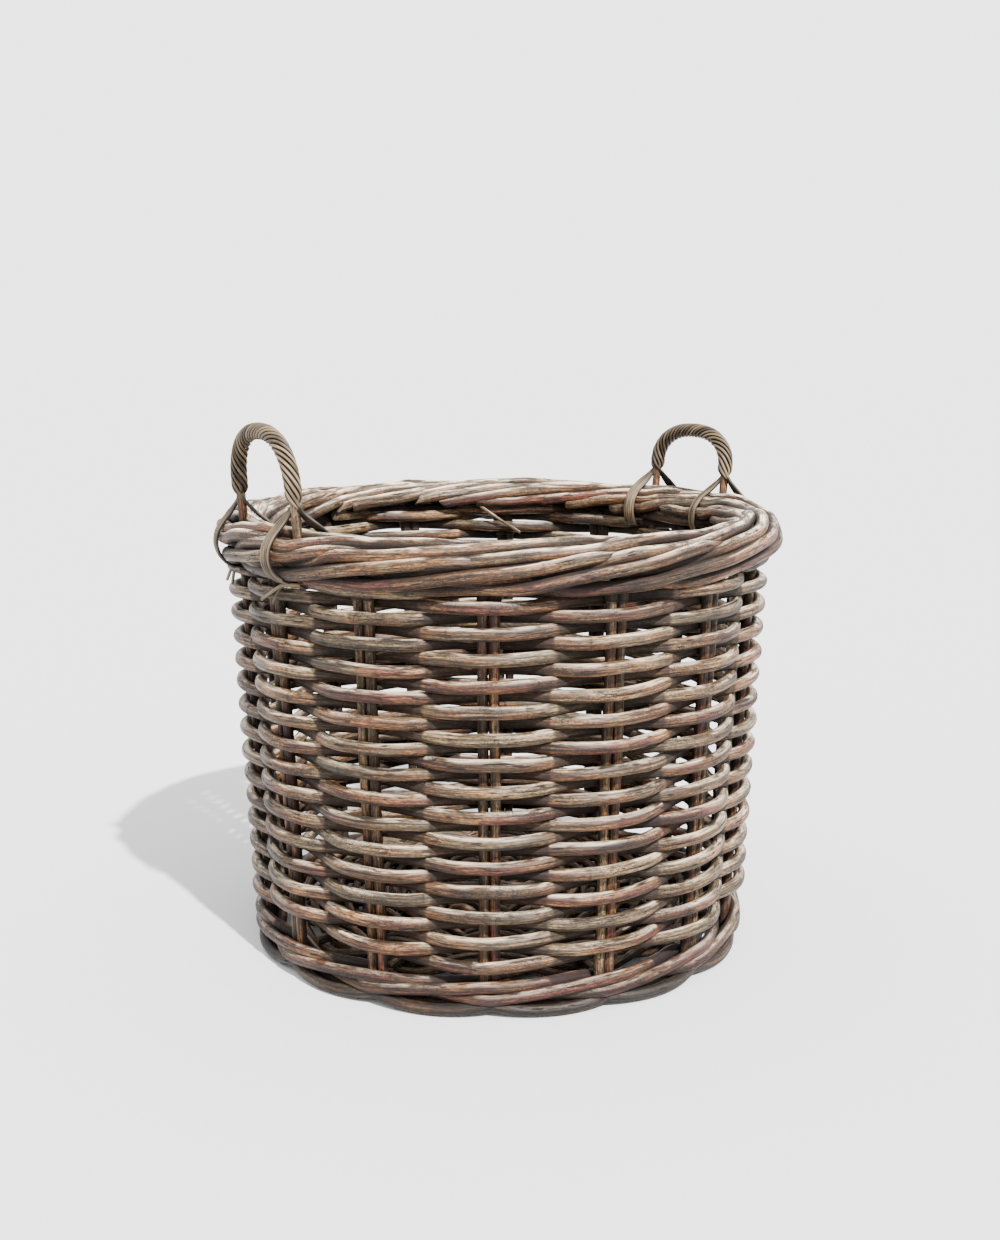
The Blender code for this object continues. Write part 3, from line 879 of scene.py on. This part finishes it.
def stood(points, side):
    """Handle points turned to their side of the rim and leaned outwards."""
    pivot = Vector((0, 0, BOW_FOOT))
    lean = Matrix.Translation(pivot) @ Matrix.Rotation(BOW_LEAN, 4, "X") @ Matrix.Translation(-pivot)
    out = math.sqrt(BOW_RADIUS**2 - BOW_HALF**2)
    place = Matrix.Rotation(side + math.pi / 2, 4, "Z") @ Matrix.Translation((0, -out, 0)) @ lean
    matrix = np.array(place)
    return points @ matrix[:3, :3].T + matrix[:3, 3]


def strand_end(leg, inward, place, width, border):
    """The run of a strand beside a leg, where place counts the strands across the band from its middle."""
    reach = ROLL_RADIUS + border / 2 + width / 2 + CANE_GAP
    points = []
    for turn, roll, lift in (STRAND_IN if inward else STRAND_OUT):
        # The strands lie side by side on the border, and closer together up where they meet the rope
        fan = place * width * 1.02 / (RIM_RADIUS + reach)
        angle = leg + math.radians(turn) + fan * (1.0 if lift < 0.01 else 0.35)
        points.append(on_roll(angle, math.radians(roll), reach + lift))
    return np.array(points)


def ranked(turns, sign):
    """For strands with these turns round the rope: whether each goes inward, and its place in its band.

    sign is 1 at the rope's first end and -1 at its last, which the strands leave the other way about.
    """
    found = {}
    for inward in (True, False):
        group = [i for i, turn in enumerate(turns) if (math.cos(turn) > 0) == inward]
        # Strands already on the side that they leave by take the far edge of the band
        leaving = (math.pi / 2 if inward else 3 * math.pi / 2) * sign
        group.sort(key=lambda i: abs((turns[i] - leaving + math.pi) % TURN - math.pi))
        for j, i in enumerate(group):
            place = (len(group) - 1) / 2 - j
            found[i] = (inward, place if inward else -place)
    return found


def strand_paths(side, raised, settings, border):
    """Every strand of one handle: down beside one leg, round the bow and down beside the other."""
    flat = softened(bow_path(WRAP_FOOT, raised), 0.003, 0.0012)
    along = lengths_along(flat)
    tangent = unit(np.gradient(flat, along, axis=0))
    outward = np.array((0.0, -1.0, 0.0))
    across = np.cross(tangent, outward)
    high = np.sin(math.pi * along / along[-1]) ** 2
    pitch = settings.pitch_leg + (settings.pitch_top - settings.pitch_leg) * high
    twist = -np.concatenate(([0.0], np.cumsum(TURN / pitch[:-1] * np.diff(along))))
    around = settings.rope / 2 - settings.strand / 2
    phases = [twist + i * TURN / settings.strands + 0.2 for i in range(settings.strands)]
    starts = ranked([phase[0] % TURN for phase in phases], 1)
    ends = ranked([phase[-1] % TURN for phase in phases], -1)
    for i, phase in enumerate(phases):
        wound = flat + around * (np.cos(phase)[:, None] * outward + np.sin(phase)[:, None] * across)
        before = strand_end(side - BOW_SPREAD, *starts[i], settings.strand, border)[::-1]
        after = strand_end(side + BOW_SPREAD, *ends[i], settings.strand, border)
        yield softened(np.concatenate((before, stood(wound, side)[2:-2], after)), 0.0030, 0.001)


def stub_paths(draw, leg, border, width):
    """Short cut ends of cane that stick out under the border beside a leg."""
    for turn, roll, run, drop in STUBS:
        start = on_roll(leg + math.radians(turn + 4.2), math.radians(roll - 8), ROLL_RADIUS + border / 2)
        middle = on_roll(leg + math.radians(turn), math.radians(roll), ROLL_RADIUS + border / 2 + width)
        angle = leg + math.radians(turn) + run / RIM_RADIUS
        end = on_roll(angle, math.radians(roll), ROLL_RADIUS + border / 2 + width * 1.5)
        end = end + np.array((0.0, 0.0, drop + draw.uniform(-0.003, 0.003)))
        yield softened(np.array((start, middle, end)), 0.004, 0.001)


# Openness, which sets the painted shade and grime of each rod


def open_from_wall(swing):
    """A rod of the wall is open to the side it passes on, and least open where it crosses through."""
    def open_to(centre):
        radius = np.hypot(centre[:, 0], centre[:, 1])
        side = np.clip((radius - stake_radius(centre[:, 2])) / swing, -1, 1)
        way = polar(1.0, np.arctan2(centre[:, 1], centre[:, 0]), 0.0)
        share = CROSSING_OPEN + (1 - CROSSING_OPEN) * np.abs(side) ** 0.8
        return way * (np.sign(side) * share)[:, None]
    return open_to


def open_from_rim(centre):
    """A rod of the border is open away from the middle of the roll."""
    angle = np.arctan2(centre[:, 1], centre[:, 0])
    way = centre - on_roll(angle, 0.0, 0.0)
    return unit(way) * np.clip(np.linalg.norm(way, axis=1) / ROLL_RADIUS, 0, 1)[:, None]


def open_from_rope(middle, rope):
    """A strand is open away from the bow where it's wound round it, and away from the roll below."""
    def open_to(centre):
        far = np.linalg.norm(centre[:, None] - middle[None], axis=2)
        wound = (far.min(axis=1) < rope / 2)[:, None]
        return np.where(wound, unit(centre - middle[far.argmin(axis=1)]), open_from_rim(centre))
    return open_to


def open_from_axis(centre):
    """A stake in the wall is open outwards, and never fully, because the weavers pass it on both sides."""
    return polar(STAKE_OPEN, np.arctan2(centre[:, 1], centre[:, 0]), 0.0)


# Pieces


class BASKET_OT_stakes(bpy.types.Operator):
    """Make the stakes, which run up the wall and round the border"""

    bl_idname = "basket.stakes"
    bl_label = "Stakes and Border"

    def execute(self, context):
        settings = context.scene.basket_stakes
        for pair in range(PAIRS):
            for side in ("left", "right"):
                name = f"stake_{pair + 1:02d}_{side}"
                rods = Rods(name)
                path = stake_path(rods.draw, pair, side, settings.wander)
                self.add_stake(rods, path, settings)
                if name == SLIVER_STAKE:
                    points = [polar(reach, math.radians(angle), height) for angle, reach, height in SLIVER]
                    rods.add(softened(np.array(points), 0.004, 0.001), SLIVER_WIDTH, sides=8, rings=1.0,
                             bulge=0.0, tone=1.0, warmth=0.2, slants=(0.0, 0.6))
                rods.make("seen_" + name, picked("bark_border", "cut_end", "bark_stake"), [name])
        return {"FINISHED"}

    def add_stake(self, rods, path, settings):
        """A thinner rod in the wall that swells to its full thickness in the border."""
        split = np.searchsorted(path[:, 2] > WALL_TOP - 0.01, True)
        wall = path[: split + 6]
        tail = path[split - 2 :]
        tone, warmth = rods.draw.uniform(0.25, 0.75), rods.draw.uniform(0.2, 0.75)
        rods.add(wall, settings.stake, tone=tone, warmth=warmth, rings=0.26, open_to=open_from_axis,
                 slot=2)
        rods.add(tail, settings.border, tone=tone + 0.1, warmth=warmth, rings=0.30,
                 sides=18, slants=(0.0, 0.8), taper=0.04, open_to=open_from_rim, dirt=(0.50, 0.95))


class BASKET_OT_weavers(bpy.types.Operator):
    """Make the wall's two spirals of woven rods"""

    bl_idname = "basket.weavers"
    bl_label = "Weavers"

    def execute(self, context):
        settings = context.scene.basket_wall
        swing = context.scene.basket_stakes.stake / 2 + settings.weaver / 2
        number = 0
        for start in SPIRAL_STARTS:
            first = start
            for length in WEAVER_LENGTHS:
                number += 1
                name = f"weaver_{number:02d}"
                rods = Rods(name)
                path = weaver_path(rods.draw, start, first, length, settings.wander, swing)
                rods.add(path, settings.weaver, sides=18, spacing=0.0034, rings=0.26,
                         tone=rods.draw.uniform(0.4, 0.6), warmth=rods.draw.uniform(0.36, 0.58),
                         open_to=open_from_wall(swing), dirt=(-0.12, 0.72))
                rods.make("seen_" + name, picked("bark_weaver", "cut_end"), [name])
                first += length
        return {"FINISHED"}


class BASKET_OT_wale(bpy.types.Operator):
    """Make the three rods of the wale under the wall"""

    bl_idname = "basket.wale"
    bl_label = "Wale"

    def execute(self, context):
        settings = context.scene.basket_wall
        swing = context.scene.basket_stakes.stake / 2 + settings.wale / 2
        for number in range(3):
            name = f"wale_rod_{number + 1}"
            rods = Rods(name)
            path = wale_path(rods.draw, number, swing, settings.wander)
            rods.add(path, settings.wale, rings=0.25, tone=0.45, warmth=0.76, sides=18,
                     open_to=open_from_wall(swing))
            rods.make("seen_" + name, picked("bark_wale", "cut_end"), [name])
        return {"FINISHED"}


class BASKET_OT_foot(bpy.types.Operator):
    """Make the two rings of strokes that the basket stands on"""

    bl_idname = "basket.foot"
    bl_label = "Foot"

    def execute(self, context):
        settings = context.scene.basket_base
        for name, radius, lift, spread in FOOT_RINGS:
            rods = Rods(name)
            for path in foot_paths(rods.draw, radius, lift, spread):
                rods.add(path, settings.foot, rings=0.3, tone=rods.draw.uniform(0.1, 0.5), warmth=0.5)
            rods.make("seen_" + name, picked("bark_foot", "cut_end"), [name])
        return {"FINISHED"}


class BASKET_OT_base(bpy.types.Operator):
    """Make the base: crossed sticks and the two rods woven through them"""

    bl_idname = "basket.base"
    bl_label = "Base"

    def execute(self, context):
        settings = context.scene.basket_base
        number = 0
        for first, count, layer in STICK_GROUPS:
            axis = first + (count - 1) / 2
            for i in range(count):
                number += 1
                name = f"base_stick_{number}"
                rods = Rods(name)
                low = first + i
                offset = (low - axis) * (settings.stick + STICK_GAP)
                high = 2 * axis + PAIRS / 2 - low
                path = stick_path(low, high, axis, offset, layer, settings.stick)
                rods.add(path, settings.stick, tone=rods.draw.uniform(0.3, 0.7), slants=(0.3, 0.3))
                rods.make("seen_" + name, picked("bark_base", "cut_end"), [name])
        clear = (settings.stick + settings.weaver) / 2
        for number in range(2):
            name = f"base_weaver_{number + 1}"
            rods = Rods(name)
            path = base_weaver_path(rods.draw, number, clear)
            rods.add(path, settings.weaver, sides=12, tone=0.5, warmth=0.5, rings=0.2)
            rods.make("seen_" + name, picked("bark_base", "cut_end"), [name])
        return {"FINISHED"}


class BASKET_OT_bows(bpy.types.Operator):
    """Make the bent rod inside each handle"""

    bl_idname = "basket.bows"
    bl_label = "Handle Bows"

    def execute(self, context):
        settings = context.scene.basket_handles
        for side, angle, raised in HANDLES:
            name = f"handle_bow_{side}"
            rods = Rods(name)
            path = stood(softened(bow_path(BOW_FOOT, raised), 0.003), angle)
            rods.add(path, settings.bow, tone=0.62, warmth=0.42, rings=0.2)
            rods.make("seen_" + name, picked("bark_bow", "cut_end"), [name])
        return {"FINISHED"}


class BASKET_OT_ropes(bpy.types.Operator):
    """Make the canes twisted round each bow and bound over the border"""

    bl_idname = "basket.ropes"
    bl_label = "Handle Ropes"

    def execute(self, context):
        settings = context.scene.basket_handles
        border = context.scene.basket_stakes.border
        for side, angle, raised in HANDLES:
            rods = Rods(f"handle_rope_{side}")
            middle = stood(softened(bow_path(WRAP_FOOT, raised), 0.003), angle)
            open_to = open_from_rope(middle, settings.rope)
            for path in strand_paths(angle, raised, settings, border):
                rods.add(path, settings.strand, sides=10, spacing=0.0022, rings=0.5, bulge=0.0,
                         tone=rods.draw.uniform(0.3, 0.8), uneven=0.05, open_to=open_to, dirt=(0.66, 0.99))
            for leg in (-1, 1):
                beside = angle + leg * BOW_SPREAD
                for path in stub_paths(rods.draw, beside, border, settings.strand):
                    rods.add(path, settings.strand, sides=10, spacing=0.002, rings=0.5, bulge=0.0,
                             tone=0.7, slants=(0.0, 0.6))
            nodes = [f"handle_wrap_{side}"] + [f"handle_binding_{side}_{end}" for end in ("front", "back")]
            rods.make(f"seen_handle_rope_{side}", picked("cane_strand", "cut_end"), nodes)
        return {"FINISHED"}


# Stage


class BASKET_OT_stage(bpy.types.Operator):
    """Make the floor, the lights and the camera"""

    bl_idname = "basket.stage"
    bl_label = "Stage"

    def execute(self, context):
        settings = context.scene.basket_stage
        self.add_floor(context.scene, settings.floor)
        self.add_sky(context.scene, settings.sky)
        self.add_key(context.scene, settings.key)
        self.add_camera(context.scene)
        return {"FINISHED"}

    def add_floor(self, scene, colour):
        mesh = bpy.data.meshes.new("floor")
        corners = [(x * FLOOR_HALF, y * FLOOR_HALF, 0) for x, y in ((-1, -1), (1, -1), (1, 1), (-1, 1))]
        mesh.from_pydata(corners, [], [(0, 1, 2, 3)])
        floor = bpy.data.objects.new("floor", mesh)
        scene.collection.objects.link(floor)
        paper = bpy.data.materials.new("floor_paper")
        paper.use_nodes = True
        shader = paper.node_tree.nodes["Principled BSDF"]
        shader.inputs["Base Color"].default_value = (*colour, 1)
        shader.inputs["Roughness"].default_value = 0.9
        shader.inputs["Specular IOR Level"].default_value = 0.1
        mesh.materials.append(paper)

    def add_sky(self, scene, strength):
        world = bpy.data.worlds.new("studio")
        world.use_nodes = True
        back = world.node_tree.nodes["Background"]
        back.inputs["Color"].default_value = (1, 1, 1, 1)
        back.inputs["Strength"].default_value = strength
        scene.world = world

    def add_key(self, scene, power):
        data = bpy.data.lights.new("key", "SUN")
        data.energy = power
        data.angle = KEY_SPREAD
        light = bpy.data.objects.new("key", data)
        flat = math.cos(KEY_ELEVATION)
        way = Vector((math.cos(KEY_AZIMUTH) * flat, math.sin(KEY_AZIMUTH) * flat, math.sin(KEY_ELEVATION)))
        light.location = way * 3
        light.rotation_euler = way.to_track_quat("Z", "Y").to_euler()
        scene.collection.objects.link(light)

    def add_camera(self, scene):
        data = bpy.data.cameras.new("camera")
        data.lens = CAMERA_LENS
        data.sensor_width = 36.0
        data.shift_x = CAMERA_SHIFT
        camera = bpy.data.objects.new("camera", data)
        x, y = (CAMERA_DISTANCE * share for share in (math.cos(CAMERA_AZIMUTH), math.sin(CAMERA_AZIMUTH)))
        camera.location = (x, y, CAMERA_HEIGHT)
        camera.rotation_euler = (math.pi / 2 - CAMERA_DOWN, 0, CAMERA_AZIMUTH + math.pi / 2)
        scene.collection.objects.link(camera)
        scene.camera = camera


OPERATORS = (
    BASKET_OT_stakes,
    BASKET_OT_weavers,
    BASKET_OT_wale,
    BASKET_OT_foot,
    BASKET_OT_base,
    BASKET_OT_bows,
    BASKET_OT_ropes,
    BASKET_OT_stage,
)


class BASKET_PT_panel(bpy.types.Panel):
    """Lists the steps that build the basket, with their settings"""

    bl_idname = "BASKET_PT_panel"
    bl_label = "Wicker Log Basket"
    bl_space_type = "VIEW_3D"
    bl_region_type = "UI"
    bl_category = "Basket"

    def draw(self, context):
        for key, group in SETTINGS.items():
            box = self.layout.box()
            for name in group.__annotations__:
                box.prop(getattr(context.scene, key), name)
        for operator in OPERATORS:
            self.layout.operator(operator.bl_idname)


CLASSES = (*SETTINGS.values(), *OPERATORS, BASKET_PT_panel)


def register():
    for made in CLASSES:
        bpy.utils.register_class(made)
    for key, group in SETTINGS.items():
        setattr(bpy.types.Scene, key, bpy.props.PointerProperty(type=group))


def unregister():
    for key in SETTINGS:
        delattr(bpy.types.Scene, key)
    for made in reversed(CLASSES):
        bpy.utils.unregister_class(made)


def main():
    register()
    bpy.ops.basket.stakes()
    bpy.ops.basket.weavers()
    bpy.ops.basket.wale()
    bpy.ops.basket.foot()
    bpy.ops.basket.base()
    bpy.ops.basket.bows()
    bpy.ops.basket.ropes()
    bpy.ops.basket.stage()


if __name__ == "__main__":
    main()
